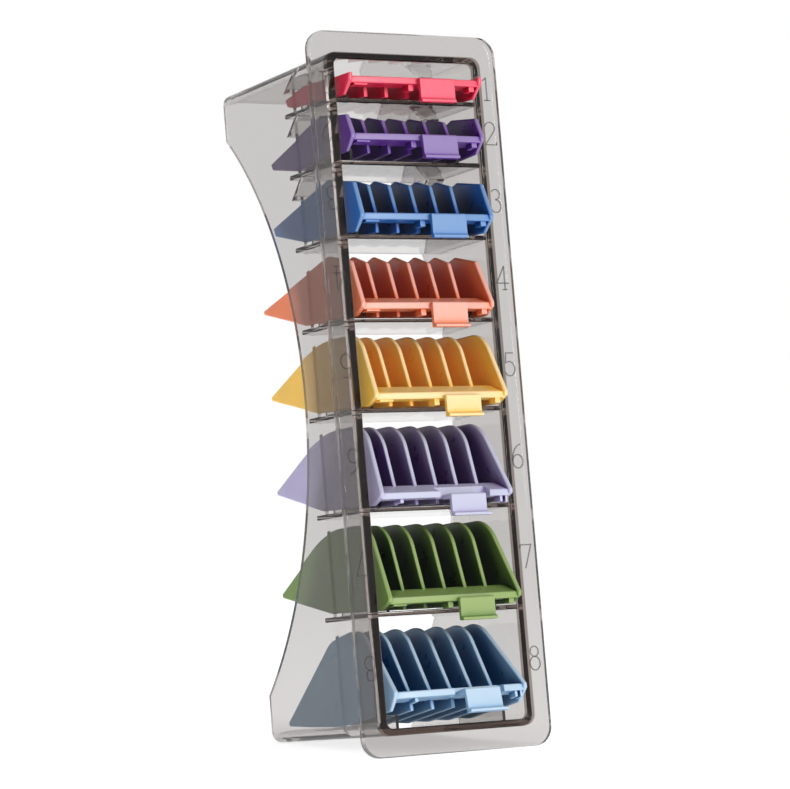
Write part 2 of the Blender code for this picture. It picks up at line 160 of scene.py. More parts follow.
# The guards, with heights above the shelf. A ledge's height is that of its underside, and a crest's that of
# the ribs' highest edge. front_size is the chamfer or the radius of the ribs' top front corner. Angles are in
# degrees: nose_up is the tilt on the shelf, rib_lean and side_lean are the front edges' slants from upright,
# and a tail's angle is that of the slope down to it, which leaves the crest at the shoulder's radius. lean_in
# is how far the side plates close in for each millimetre of height.
Clip = namedtuple("Clip", "high low lip arm")
Tail = namedtuple("Tail", "reach height blunt angle shoulder")
Guard = namedtuple(
    "Guard",
    "number slot nose_up ledge crest shape front_size rib_lean side_lean lean_in clip tail",
)
GUARDS = [
    Guard(
        1, "red", 0.0, 3.4, 6.8, "chamfer", 0.4, 15.0, 15.0, 0.0,
        Clip(5.2, -2.2, 0.5, False), Tail(31.6, 4.9, 2.4, 9.0, 1.0),
    ),
    Guard(
        2, "purple", 5.0, 3.0, 14.0, "chamfer", 3.0, 16.0, 18.0, 0.0,
        Clip(4.6, -2.8, 0.5, False), Tail(41.6, 7.5, 2.0, 11.8, 1.0),
    ),
    Guard(
        3, "blue", 0.0, 3.4, 17.8, "chamfer", 2.6, 17.0, 20.0, 0.03,
        Clip(5.2, -2.2, 0.5, False), Tail(44.9, 8.6, 2.6, 15.6, 1.0),
    ),
    Guard(
        4, "coral", 0.0, 2.1, 20.2, "chamfer", 2.9, 18.0, 24.0, 0.05,
        Clip(4.0, -3.7, 1.1, False), Tail(52.6, 9.6, 1.2, 14.8, 1.0),
    ),
    Guard(
        5, "yellow", 0.0, 1.8, 22.5, "round", 9.0, 19.0, 24.0, 0.05,
        Clip(2.8, -3.8, 1.1, False), Tail(55.3, 9.9, 1.2, 24.0, 50.0),
    ),
    Guard(
        6, "lavender", 0.0, 1.8, 25.1, "round", 10.0, 16.0, 26.0, 0.12,
        Clip(2.8, -3.9, 1.1, True), Tail(55.6, 10.3, 1.2, 30.0, 44.0),
    ),
    Guard(
        7, "green", 0.0, 1.8, 26.4, "round", 10.0, 17.0, 27.0, 0.08,
        Clip(2.8, -4.1, 1.1, False), Tail(56.6, 9.6, 1.2, 32.0, 34.0),
    ),
    Guard(
        8, "pale_blue", 10.0, 3.2, 28.1, "round", 10.0, 20.0, 33.0, 0.10,
        Clip(4.6, -2.8, 1.1, True), Tail(56.3, 9.8, 1.2, 33.0, 8.0),
    ),
]

# Each comb's colours: a painted shade between its ribs, its plain colour over most of it, and a painted
# highlight on its open front faces
Colour = namedtuple("Colour", "deep plain pale")
COLOURS = {
    "red": Colour((0.30, 0.003, 0.015), (0.80, 0.016, 0.07), (0.72, 0.08, 0.13)),
    "purple": Colour((0.035, 0.012, 0.12), (0.13, 0.032, 0.32), (0.22, 0.15, 0.36)),
    "blue": Colour((0.004, 0.016, 0.07), (0.018, 0.14, 0.50), (0.125, 0.25, 0.48)),
    "coral": Colour((0.55, 0.075, 0.03), (0.85, 0.21, 0.08), (0.80, 0.36, 0.28)),
    "yellow": Colour((0.98, 0.48, 0.09), (0.94, 0.56, 0.075), (0.84, 0.62, 0.30)),
    "lavender": Colour((0.080, 0.035, 0.17), (0.48, 0.44, 0.68), (0.47, 0.48, 0.62)),
    "green": Colour((0.012, 0.024, 0.010), (0.15, 0.26, 0.055), (0.25, 0.35, 0.11)),
    "pale_blue": Colour((0.008, 0.080, 0.23), (0.30, 0.51, 0.76), (0.43, 0.57, 0.71)),
}

CAMERA_PLACE = (-588.79, -880.24, -105.64)  # in the stand's axes
CAMERA_AZIMUTH = math.radians(33.19)
CAMERA_ELEVATION = math.radians(-5.66)
CAMERA_ROLL = math.radians(-4.69)
CAMERA_LENS = 163.06

AMBIENT = 0.3  # how strongly the white surround lights matt surfaces

# Lamps and floor, in metres and watts
Lamp = namedtuple("Lamp", "name place size power")
LAMPS = [
    Lamp("key", (0.35, -1.3, 0.55), 0.5, 12.0),
    Lamp("fill", (-1.2, 0.35, 0.45), 0.6, 2.4),
]
LAMP_TARGET = (0.0, 0.0, 0.1)
FLOOR_HALF = 30.0
FLOOR_DEPTH = 0.02


# Outlines

def rounded(corners, radii, steps=5):
    """The closed outline through the corners, with an arc at each corner that has a radius."""
    outline = []
    count = len(corners)
    for index, (corner, radius) in enumerate(zip(corners, radii)):
        here = Vector(corner)
        if not radius:
            outline.append(here)
            continue
        to_last = (Vector(corners[index - 1]) - here).normalized()
        to_next = (Vector(corners[(index + 1) % count]) - here).normalized()
        half = to_last.angle(to_next) / 2
        centre = here + (to_last + to_next).normalized() * radius / math.sin(half)
        start = here + to_last * radius / math.tan(half) - centre
        finish = here + to_next * radius / math.tan(half) - centre
        turn = start.angle_signed(finish)
        for step in range(steps + 1):
            arm = Matrix.Rotation(-turn * step / steps, 2) @ start
            outline.append(centre + arm)
    return outline


def rounded_rectangle(half_x, half_z, radius, steps=8):
    """A rectangle about the middle, with rounded corners."""
    corners = [(-half_x, -half_z), (half_x, -half_z), (half_x, half_z), (-half_x, half_z)]
    return rounded(corners, [radius] * 4, steps)


def rectangle(low, high, radius, steps=3):
    """A rectangle from its low corner to its high corner, with rounded corners."""
    corners = [(low[0], low[1]), (high[0], low[1]), (high[0], high[1]), (low[0], high[1])]
    return rounded(corners, [radius] * 4, steps)


def signed_area(outline):
    """The outline's area, negative if it runs clockwise."""
    pairs = zip(outline, outline[1:] + outline[:1])
    return sum(a[0] * b[1] - a[1] * b[0] for a, b in pairs) / 2


def inset(outline, amount):
    """The outline moved inwards by amount."""
    points = [Vector(point) for point in outline]
    side = math.copysign(1.0, signed_area(points))
    moved = []
    for index, here in enumerate(points):
        before = (here - points[index - 1]).normalized()
        after = (points[(index + 1) % len(points)] - here).normalized()
        normal = side * Vector((-(before.y + after.y), before.x + after.x))
        normal.normalize()
        slant = max(0.5, normal.dot(side * Vector((-before.y, before.x))))
        moved.append(here + normal * amount / slant)
    return moved


# Solids

def placed(point, axis, along):
    """A point of an outline set at a place along the axis that the outline looks down."""
    if axis == "x":
        return Vector((along, point[0], point[1]))
    if axis == "y":
        return Vector((point[0], along, point[1]))
    return Vector((point[0], point[1], along))


def loft(mesh, sections, axis):
    """Adds a closed solid through sections, each an outline and its place along the axis.

    All the outlines have the same number of points.
    """
    rings = []
    for outline, along in sections:
        rings.append([mesh.verts.new(placed(point, axis, along) * MM) for point in outline])
    for ring, following in zip(rings, rings[1:]):
        for index in range(len(ring)):
            after = (index + 1) % len(ring)
            mesh.faces.new((ring[index], ring[after], following[after], following[index]))
    mesh.faces.new(rings[0])
    mesh.faces.new(rings[-1])


def prism(mesh, outline, axis, low, high, edge, steps=3):
    """Adds a prism of the outline, with the edges of its two ends rounded off by edge."""
    sections = []
    for step in range(steps + 1):
        turn = math.pi / 2 * step / steps
        smaller = inset(outline, edge * (1 - math.sin(turn)))
        sections.append((smaller, low + edge * (1 - math.cos(turn))))
    sections += [(smaller, low + high - along) for smaller, along in reversed(sections)]
    loft(mesh, sections, axis)


def new_object(mesh, matrix):
    """An object of the mesh, whose faces are turned outwards."""
    bmesh.ops.recalc_face_normals(mesh, faces=mesh.faces)
    data = bpy.data.meshes.new("solid")
    mesh.to_mesh(data)
    mesh.free()
    obj = bpy.data.objects.new("solid", data)
    bpy.context.scene.collection.objects.link(obj)
    obj.matrix_world = matrix
    return obj


def combined(name, first, others, matrix):
    """One object: the first mesh joined with, or cut by, each (operation, mesh) of the others in turn."""
    obj = new_object(first, matrix)
    obj.name = name
    helpers = []
    for operation, mesh in others:
        other = new_object(mesh, matrix)
        modifier = obj.modifiers.new(operation, "BOOLEAN")
        modifier.operation = operation
        modifier.solver = "EXACT"
        modifier.object = other
        helpers.append(other)
    apply_modifiers(obj)
    obj.data.name = name
    for other in helpers:
        bpy.data.objects.remove(other)
    return obj


def mesh_of(obj):
    """A copy of the object's mesh, to build on."""
    mesh = bmesh.new()
    mesh.from_mesh(obj.data)
    return mesh


def apply_modifiers(obj):
    """Gives the object the mesh that its modifiers make of it."""
    bpy.context.view_layer.update()
    data = bpy.data.meshes.new_from_object(obj.evaluated_get(bpy.context.evaluated_depsgraph_get()))
    obj.modifiers.clear()
    obj.data = data


def smooth(obj):
    """Shades the rounded edges as curves, and leaves the flat faces between them flat."""
    obj.data.shade_smooth()
    obj.data.set_sharp_from_angle(angle=SHARP)
    modifier = obj.modifiers.new("flat faces", "WEIGHTED_NORMAL")
    modifier.mode = "FACE_AREA"
    modifier.weight = 100
    modifier.keep_sharp = True
    apply_modifiers(obj)


# The stand

def stand_matrix():
    """The stand's own axes, from the direction of the guards' slides and the place of the front frame."""
    slide = next(joint for joint in frame["joints"] if joint["name"] == "guard_1_slide")
    lean = math.atan2(slide["axis"][2], -slide["axis"][1])
    low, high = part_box("front_frame")
    half = FRAME_HEIGHT / 2 * MM
    place = Vector(((low.x + high.x) / 2, low.y + half * math.sin(lean), high.z - half * math.cos(lean)))
    return Matrix.Translation(place) @ Matrix.Rotation(-lean, 4, "X")


def face_plate():
    """The front frame's plate, still without its opening."""
    mesh = bmesh.new()
    outline = rounded_rectangle(FRAME_WIDTH / 2, FRAME_HEIGHT / 2, FRAME_CORNER)
    prism(mesh, outline, "y", 0.0, FRAME_THICKNESS, FRAME_EDGE)
    return mesh


def box_body():
    """The box behind the frame, still solid, with its long edges rounded."""
    mesh = bmesh.new()
    outline = rounded_rectangle(BOX_WIDTH / 2, BOX_HEIGHT / 2, BOX_CORNER)
    rear = BOX_DEPTH - BOX_EDGE
    sections = [(outline, FRAME_THICKNESS / 2), (outline, SLEEVE_DEPTH), (outline, rear)]
    for step in (1, 2, 3):
        turn = math.pi / 6 * step
        smaller = inset(outline, BOX_EDGE * (1 - math.cos(turn)))
        sections.append((smaller, rear + BOX_EDGE * math.sin(turn)))
    loft(mesh, sections, "y")
    return mesh


def hollow():
    """The opening and the space behind it, a little wider behind the thick front part of the side walls."""
    mesh = bmesh.new()
    edge = OPENING_EDGE
    half_x = OPENING_WIDTH / 2
    half_z = OPENING_HEIGHT / 2
    sections = [(rounded_rectangle(half_x + edge, half_z + edge, OPENING_CORNER + edge), -1.0)]
    for step in range(4):
        turn = math.pi / 6 * step
        flare = edge * (1 - math.sin(turn))
        outline = rounded_rectangle(half_x + flare, half_z + flare, OPENING_CORNER + flare)
        sections.append((outline, edge * (1 - math.cos(turn))))
    narrow = rounded_rectangle(half_x, half_z, OPENING_CORNER)
    wide = rounded_rectangle(BOX_WIDTH / 2 - SIDE_WALL, half_z, OPENING_CORNER)
    sections += [(narrow, SLEEVE_DEPTH), (wide, SLEEVE_DEPTH + SLEEVE_STEP), (wide, BOX_DEPTH + 2.0)]
    loft(mesh, sections, "y")
    return mesh


def waist():
    """What is hollowed out of the side walls' rear edges."""
    depth = BOX_DEPTH - WAIST_DEPTH
    radius = (WAIST_HALF_HEIGHT**2 + depth**2) / (2 * depth)
    outline = []
    for step in range(WAIST_STEPS + 1):
        z = WAIST_HALF_HEIGHT * (2 * step / WAIST_STEPS - 1)
        outline.append((WAIST_DEPTH + radius - math.sqrt(radius**2 - z**2), z))
    outline += [(BOX_DEPTH + 3.0, WAIST_HALF_HEIGHT), (BOX_DEPTH + 3.0, -WAIST_HALF_HEIGHT)]
    mesh = bmesh.new()
    loft(mesh, [(outline, -BOX_WIDTH), (outline, BOX_WIDTH)], "x")
    return mesh


def shelves():
    """The shelves, each from one side wall to the other."""
    mesh = bmesh.new()
    for top in SHELF_TOPS:
        outline = rectangle((SHELF_FRONT, top - SHELF_THICKNESS), (SHELF_REAR, top), SHELF_EDGE)
        loft(mesh, [(outline, -JOINED), (outline, JOINED)], "x")
    return mesh


def fins():
    """A pair of guide fins that stand on each shelf and on the floor, sunk a little into it."""
    mesh = bmesh.new()
    for top in SHELF_TOPS + [-OPENING_HEIGHT / 2]:
        for side in (-1, 1):
            middle = side * FIN_PLACE
            low = (middle - FIN_WIDTH / 2, top - SHELF_THICKNESS / 2)
            outline = rectangle(low, (middle + FIN_WIDTH / 2, top + FIN_HEIGHT), FIN_EDGE)
            loft(mesh, [(outline, FIN_FRONT), (outline, SHELF_REAR - GAP)], "y")
    return mesh


def hold_downs():
    """Bent strips along the side walls that slope down from each ceiling and end in a lip to the front."""
    mesh = bmesh.new()
    ceilings = [OPENING_HEIGHT / 2] + [top - SHELF_THICKNESS for top in SHELF_TOPS]
    for top, ceiling, height, length in zip(SHELF_TOPS, ceilings, HOLD_DOWN_HEIGHTS, HOLD_DOWN_LIPS):
        high = ceiling + HOLD_DOWN_SUNK
        low = top + height
        thick = HOLD_DOWN_THICKNESS
        across = thick * 1.5  # the slanting strip's thickness, measured along y
        lean = (HOLD_DOWN_REAR - HOLD_DOWN_FRONT - across) / (high - low)
        outline = [
            (HOLD_DOWN_FRONT, high),
            (HOLD_DOWN_REAR - across - lean * thick, low + thick),
            (HOLD_DOWN_REAR - length, low + thick),
            (HOLD_DOWN_REAR - length, low),
            (HOLD_DOWN_REAR, low),
            (HOLD_DOWN_FRONT + across, high),
        ]
        for side in (-1, 1):
            loft(mesh, [(outline, side * HOLD_DOWN_INNER), (outline, side * JOINED)], "x")
    return mesh


def ellipse(x, z, across, up, start, finish, steps=18):
    """Points on an ellipse between two angles, in degrees anticlockwise from the right."""
    angles = [math.radians(start + (finish - start) * step / steps) for step in range(steps + 1)]
    return [(x + across * math.cos(angle), z + up * math.sin(angle)) for angle in angles]


def ring(x, z, across, up):
    """A whole ellipse but for its last step, which the stroke closes."""
    return ellipse(x, z, across, up, 0.0, 345.0, 23)


# Each numeral's strokes, one unit high
NUMERALS = {
    1: [[(0.0, 0.0), (0.0, 1.0)], [(-0.16, 0.03), (0.16, 0.03)], [(-0.17, 0.86), (0.0, 0.97)]],
    2: [
        ellipse(0.0, 0.74, 0.24, 0.24, 165.0, -35.0) + [(-0.26, 0.03), (0.28, 0.03)],
        [(0.28, 0.0), (0.3, 0.15)],
    ],
    3: [ellipse(0.0, 0.77, 0.21, 0.21, 150.0, -90.0), ellipse(-0.02, 0.28, 0.26, 0.27, 90.0, -150.0)],
    4: [[(0.1, 1.0), (-0.3, 0.3), (0.3, 0.3)], [(0.1, 0.0), (0.1, 1.02)], [(-0.03, 0.03), (0.23, 0.03)]],
    5: [[(0.22, 0.97), (-0.16, 0.97), (-0.2, 0.56)] + ellipse(-0.02, 0.31, 0.26, 0.3, 110.0, -150.0)],
    6: [ring(0.0, 0.29, 0.25, 0.28), ellipse(0.22, 0.3, 0.47, 0.7, 95.0, 180.0)],
    7: [[(-0.27, 0.84), (-0.25, 0.97), (0.28, 0.97), (-0.06, 0.0)]],
    8: [ring(0.0, 0.77, 0.2, 0.21), ring(0.0, 0.28, 0.25, 0.28)],
}


def stroke(mesh, path):
    """Adds a thin strip of the stroke's width along a path, sunk into the front face."""
    closed = math.dist(path[0], path[-1]) < 0.15 * NUMERAL_HEIGHT and len(path) > 20
    points = [Vector(point) for point in path]
    rings = []
    for index, here in enumerate(points):
        before = points[index - 1] if closed or index else here
        after = points[(index + 1) % len(points)] if closed or index + 1 < len(points) else here
        along = ((here - before).normalized() + (after - here).normalized()).normalized()
        mitre = max(0.5, along.dot((after - here).normalized() if after != here else along))
        across = Vector((-along.y, along.x)) * NUMERAL_STROKE / 2 / mitre
        corners = [(here + across, -NUMERAL_PROUD), (here - across, -NUMERAL_PROUD)]
        corners += [(here - across, NUMERAL_DEPTH), (here + across, NUMERAL_DEPTH)]
        rings.append([mesh.verts.new(placed(point, "y", depth) * MM) for point, depth in corners])
    for ring_at, following in zip(rings, rings[1:] + rings[:1] if closed else rings[1:]):
        for index in range(4):
            after = (index + 1) % 4
            mesh.faces.new((ring_at[index], ring_at[after], following[after], following[index]))
    if not closed:
        mesh.faces.new(rings[0])
        mesh.faces.new(rings[-1])


def build_numerals(stand):
    """The guards' numbers in the frame: upright down the right side, and upside down on the left."""
    mesh = bmesh.new()
    for number, level in enumerate(NUMERAL_LEVELS, start=1):
        for side in (-1, 1):
            middle = Vector((side * NUMERAL_PLACE, level + NUMERAL_HEIGHT / 2))
            for path in NUMERALS[number]:
                size = side * NUMERAL_HEIGHT
                stroke(mesh, [middle + Vector((x, z - 0.5)) * size for x, z in path])
    obj = new_object(mesh, stand)
    obj.name = "frame_numerals"
    smooth(obj)
    # the grooves get a dark fill of painted shade
    obj.data.materials.append(numeral_groove_shade())
    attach(obj, "stand")


def ground(stand):
    """What lies below the floor, in the stand's axes."""
    mesh = bmesh.new()
    loft(mesh, [(rectangle((-60.0, -150.0), (60.0, 150.0), 0.0), low) for low in (-20.0, 0.0)], "z")
    bmesh.ops.transform(mesh, matrix=stand.inverted(), verts=mesh.verts)
    return mesh


def taper(obj):
    """Narrows the box towards its rear, by the mould's draft."""
    for vertex in obj.data.vertices:
        depth = vertex.co.y - FRAME_THICKNESS * MM
        if depth > 0:
            closing = depth * math.tan(DRAFT) / MM
            vertex.co.x *= 1 - closing / (BOX_WIDTH / 2)
            vertex.co.z *= 1 - closing / (BOX_HEIGHT / 2)


def build_stand():
    """The stand as one seamless piece, cut flat where it meets the floor. Gives back the stand's axes."""
    stand = stand_matrix()
    steps = [
        ("UNION", box_body()),
        ("DIFFERENCE", hollow()),
        ("DIFFERENCE", waist()),
        ("UNION", shelves()),
        ("UNION", fins()),
        ("UNION", hold_downs()),
    ]
    obj = combined("smoked_stand", face_plate(), steps, stand)
    taper(obj)
    flattened = combined("smoked_stand_flattened", mesh_of(obj), [("DIFFERENCE", ground(stand))], stand)
    bpy.data.objects.remove(obj)
    flattened.name = "smoked_stand"
    smooth(flattened)
    flattened.data.materials.clear()
    flattened.data.materials.append(smoked_plastic())
    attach(flattened, "stand")
    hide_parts(*frame["record"]["behaviour"]["bodies"]["stand"])
    return stand


# The guards

def rib_outline(guard, front, low, lean, foot):
    """One rib seen from the side, from its foot round the tail and over the crest."""
    lean = math.tan(math.radians(lean))
    slope = math.tan(math.radians(guard.tail.angle))
    shoulder_y = guard.tail.reach - (guard.crest - guard.tail.height) / slope
    crest_y = front + (guard.crest - low) * lean
    blunt = guard.tail.blunt
    corners = [
        (foot, FOOT_HEIGHT),
        HEEL,
        (guard.tail.reach - blunt * 0.4, guard.tail.height - blunt),
        (guard.tail.reach, guard.tail.height),
        (shoulder_y, guard.crest),
    ]
    radii = [0.0, 6.0, 0.0, 0.0, guard.tail.shoulder if guard.shape == "round" else 1.5]
    if guard.shape == "round":
        corners.append((crest_y, guard.crest))
        radii.append(guard.front_size)
    else:
        step = guard.front_size
        corners.append((crest_y - step * lean, guard.crest - step))
        radii.append(1.0 if step > 2.0 else 0.0)
    corners.append((front, low))
    radii.append(0.0)
    return rounded(corners, radii, 10)


def side_outline_of(guard):
    """A side plate seen from the side, with its front foot at the ledge."""
    outline = rib_outline(guard, SIDE_FRONT, guard.ledge + LEDGE_THICKNESS, guard.side_lean, SIDE_FOOT)
    return outline + [Vector((SIDE_FRONT + 0.3, guard.ledge + 0.6))]


def rib_places():
    """The inner ribs' places from left to right."""
    middle = (INNER_RIBS - 1) / 2
    return [(index - middle) * RIB_PITCH for index in range(INNER_RIBS)]


def ledge(guard):
    """The front ledge, with its front edge bowed forwards."""
    half = GUARD_WIDTH / 2 - SIDE_PLATE + LEDGE_SUNK
    outline = [(half, LEDGE_REAR), (-half, LEDGE_REAR)]
    for step in range(-8, 9):
        share = step / 8
        outline.append((half * share, LEDGE_FRONT - LEDGE_BOW * (1 - share**2)))
    mesh = bmesh.new()
    prism(mesh, outline, "z", guard.ledge, guard.ledge + LEDGE_THICKNESS, LEDGE_EDGE)
    return mesh


def slope(guard):
    """The ramp on the ledge, up to the feet of the ribs."""
    middle = guard.ledge + LEDGE_THICKNESS / 2
    half = GUARD_WIDTH / 2 - SIDE_PLATE + SLOPE_SUNK
    outline = [
        (SLOPE_FRONT + SLOPE_INSET, middle),
        (LEDGE_REAR - 0.2, middle),
        (LEDGE_REAR - 0.2, SLOPE_HIGH),
        (SLOPE_REAR, SLOPE_HIGH),
        (SLOPE_FRONT + SLOPE_INSET, guard.ledge + LEDGE_THICKNESS + 0.15),
    ]
    mesh = bmesh.new()
    loft(mesh, [(outline, -half), (outline, half)], "x")
    return mesh


def notch(guard):
    """The gap in the ledge through which an arm carries the clip."""
    mesh = bmesh.new()
    low = (CLIP_LEFT - ARM_RELIEF, LEDGE_FRONT - 3.0)
    outline = rectangle(low, (CLIP_RIGHT + ARM_RELIEF, ARM_REAR + GAP), 0.6)
    loft(mesh, [(outline, guard.ledge - 1.0), (outline, SLOPE_HIGH + 1.0)], "z")
    return mesh


def ribs(guard):
    """The side plates, inner ribs and lugs."""
    mesh = bmesh.new()
    outer = GUARD_WIDTH / 2
    side = side_outline_of(guard)
    prism(mesh, side, "x", -outer, -outer + SIDE_PLATE, SIDE_EDGE, 5)
    prism(mesh, side, "x", outer - SIDE_PLATE, outer, SIDE_EDGE, 5)
    for vertex in mesh.verts:
        rise = vertex.co.z - guard.ledge * MM
        vertex.co.x -= math.copysign(guard.lean_in * rise, vertex.co.x)
    inner = rib_outline(guard, RIB_FRONT, SLOPE_HIGH - 0.2, guard.rib_lean, RIB_FRONT)
    edge = min(RIB_EDGE, (guard.crest - SLOPE_HIGH) * 0.3)  # the shortest guard's ribs are too low for more
    for x in rib_places():
        prism(mesh, inner, "x", x - RIB / 2, x + RIB / 2, edge)
    front = LEDGE_FRONT + 0.3
    for left, right, drop in ARM_LUGS if guard.clip.arm else LUGS:
        outline = rectangle((left, guard.ledge - drop), (right, guard.ledge + 0.6), 0.2)
        prism(mesh, outline, "y", front, front + LUG_DEPTH, 0.15, 2)
    return mesh


def clip(guard):
    """The tab in front of the ledge, with a lip turned out along its lower edge."""
    rear = CLIP_FRONT + CLIP_THICKNESS
    high = guard.clip.high
    low = guard.clip.low
    tip = CLIP_FRONT - guard.clip.lip
    outline = [
        (rear, high),
        (rear, low),
        (tip, low),
        (tip, low + LIP_HEIGHT * 0.6),
        (CLIP_FRONT, low + LIP_HEIGHT),
        (CLIP_FRONT, high),
    ]
    radii = [0.3, 0.3, 0.3, 0.3, 0.5, 0.6]
    if guard.clip.arm:
        arm_low = high - ARM_THICKNESS
        outline[0:1] = [(ARM_REAR, high), (ARM_REAR, arm_low), (rear, arm_low)]
        radii[0:1] = [0.3, 0.3, 0.5]
    mesh = bmesh.new()
    prism(mesh, rounded(outline, radii, 4), "x", CLIP_LEFT, CLIP_RIGHT, CLIP_EDGE)
    return mesh


def clip_lip(guard):
    """The part of an armed clip's lip that stands out beyond its right side."""
    rear = CLIP_FRONT + CLIP_THICKNESS
    low = guard.clip.low
    outline = rectangle((CLIP_FRONT - guard.clip.lip, low), (rear - 0.1, low + LIP_HEIGHT * 0.6), 0.25)
    mesh = bmesh.new()
    prism(mesh, outline, "x", CLIP_LEFT + 0.2, CLIP_RIGHT + LIP_OVERHANG, 0.2)
    return mesh


def clip_hinge(guard):
    """Where the clip bends, in the guard's own axes."""
    across = (CLIP_LEFT + CLIP_RIGHT) / 2
    if guard.clip.arm:
        return Vector((across, ARM_REAR, guard.clip.high - ARM_THICKNESS))
    return Vector((across, CLIP_FRONT + CLIP_THICKNESS, guard.clip.high - 1.0))


def guard_matrix(guard, stand):
    """The guard's own axes, found from the place of its clip's hinge."""
    joint = next(joint for joint in frame["joints"] if joint["name"] == f"clip_{guard.number}_flex")
    turn = stand.to_3x3() @ Matrix.Rotation(-math.radians(guard.nose_up), 3, "X")
    place = Vector(joint["pos_m"]) - turn @ clip_hinge(guard) * MM
    return Matrix.Translation(place) @ turn.to_4x4()


def build_guard(guard, stand):
    """One comb and its tab."""
    matrix = guard_matrix(guard, stand)
    steps = [("UNION", slope(guard))]
    if guard.clip.arm:
        steps.append(("DIFFERENCE", notch(guard)))
    steps.append(("UNION", ribs(guard)))
    body = combined(f"comb_{guard.number}", ledge(guard), steps, matrix)
    tab_steps = [("UNION", clip_lip(guard))] if guard.clip.arm else []
    tab = combined(f"tab_{guard.number}", clip(guard), tab_steps, matrix)
    material = comb_plastic(f"{guard.slot}_plastic", COLOURS[guard.slot])
    for obj, name, node in (
        (body, f"guard_{guard.number}", f"guard_{guard.number}"),
        (tab, f"clip_{guard.number}", f"guard_{guard.number}_clip"),
    ):
        smooth(obj)
        obj.data.materials.clear()
        obj.data.materials.append(material)
        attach(obj, name)
        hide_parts(node)


# Materials

def new_material(name):
    """A material, its node tree and its shader."""
    material = bpy.data.materials.new(name)
    material.use_nodes = True
    return material, material.node_tree, material.node_tree.nodes["Principled BSDF"]


def mathematics(tree, operation, first, second=None):
    """One step of arithmetic on outputs or plain numbers."""
    node = tree.nodes.new("ShaderNodeMath")
    node.operation = operation
    for socket, value in zip(node.inputs, (first, second)):
        if isinstance(value, bpy.types.NodeSocket):
            tree.links.new(value, socket)
        elif value is not None:
            socket.default_value = value
    return node.outputs["Value"]


def between(tree, value, low, high, start=0.0, finish=1.0):
    """Turns the range from low to high into the range from start to finish, and stays within it."""
    spread = tree.nodes.new("ShaderNodeMapRange")
    spread.inputs["From Min"].default_value = low
    spread.inputs["From Max"].default_value = high
    spread.inputs["To Min"].default_value = start
    spread.inputs["To Max"].default_value = finish
    tree.links.new(value, spread.inputs["Value"])
    return spread.outputs["Result"]


def noise(tree, scale, detail, low, high):
    """A value between low and high that varies over the surface, in the piece's own space."""
    place = tree.nodes.new("ShaderNodeTexCoord")
    texture = tree.nodes.new("ShaderNodeTexNoise")
    texture.inputs["Scale"].default_value = scale
    texture.inputs["Detail"].default_value = detail
    tree.links.new(place.outputs["Object"], texture.inputs["Vector"])
    return between(tree, texture.outputs["Fac"], 0.3, 0.7, low, high)


def bump(tree, height, distance, strength):
    """A normal that follows fine relief of up to the distance in metres."""
    node = tree.nodes.new("ShaderNodeBump")
    node.inputs["Distance"].default_value = distance
    node.inputs["Strength"].default_value = strength
    tree.links.new(height, node.inputs["Height"])
    return node.outputs["Normal"]


def openness(tree, reach, low, high):
    """The piece's own ambient occlusion, the mask for its painted shade and highlight: 0 in the hollows
    between its ribs and 1 on its open faces, with a soft change from low to high.
    """
    node = tree.nodes.new("ShaderNodeAmbientOcclusion")
    node.only_local = True
    node.samples = 16
    node.inputs["Distance"].default_value = reach
    result = between(tree, node.outputs["AO"], low, high)
    result.node.interpolation_type = "SMOOTHSTEP"
    return result


def facing_front(tree):
    """1 on the faces that look to the front, which catch the light, and 0 on the sides and the back."""
    place = tree.nodes.new("ShaderNodeTexCoord")
    split = tree.nodes.new("ShaderNodeSeparateXYZ")
    tree.links.new(place.outputs["Normal"], split.inputs["Vector"])
    return between(tree, split.outputs["Y"], -0.1, -0.5)


def blended(tree, factor, first, second):
    """A colour between two, each a plain colour or an output."""
    mix = tree.nodes.new("ShaderNodeMix")
    mix.data_type = "RGBA"
    tree.links.new(factor, mix.inputs["Factor"])
    for socket, value in ((mix.inputs[6], first), (mix.inputs[7], second)):  # its two colour sockets
        if isinstance(value, tuple):
            socket.default_value = (*value, 1.0)
        else:
            tree.links.new(value, socket)
    return mix.outputs[2]


def comb_plastic(name, colour):
    """Satin moulded plastic with a fine grain and faint flow marks, with painted shade between the ribs and a
    painted highlight on the open front faces.
    """
    material, tree, shader = new_material(name)
    dull = tuple(part * 0.85 for part in colour.plain)
    plain = blended(tree, noise(tree, 70.0, 4.0, 0.0, 1.0), dull, colour.plain)
    # painted highlight: open faces that look to the front are made paler, standing in for the light they
    # catch
    highlight_mask = mathematics(tree, "MULTIPLY", facing_front(tree), openness(tree, 0.006, 0.8, 1.0))
    skin_with_highlight = blended(tree, highlight_mask, plain, colour.pale)
    # painted shade: the colour darkens to the painted shade colour between the ribs, where the piece's own
    # ambient occlusion is strong
    shaded = blended(tree, openness(tree, 0.012, 0.3, 0.85), colour.deep, skin_with_highlight)
    tree.links.new(shaded, shader.inputs["Base Color"])
    tree.links.new(noise(tree, 240.0, 5.0, 0.26, 0.42), shader.inputs["Roughness"])
    tree.links.new(bump(tree, noise(tree, 2600.0, 3.0, 0.0, 1.0), 0.00002, 0.35), shader.inputs["Normal"])
    return material


def numeral_groove_shade():
    """Painted shade in the numerals' grooves: a dull dark brown fill that stands in for how the clear
    engraved grooves look dark, through which a little still shows.
    """
    material, tree, shader = new_material("numeral_groove_shade")
    # painted shade: a dark brown that varies at random in tone fills the grooves
    patchy_shade = blended(tree, noise(tree, 400.0, 4.0, 0.0, 1.0), (0.010, 0.007, 0.006), (0.030, 0.022, 0.019))
    tree.links.new(patchy_shade, shader.inputs["Base Color"])
    tree.links.new(noise(tree, 900.0, 3.0, 0.4, 0.7), shader.inputs["Roughness"])
    shader.inputs["Alpha"].default_value = 0.4
    return material


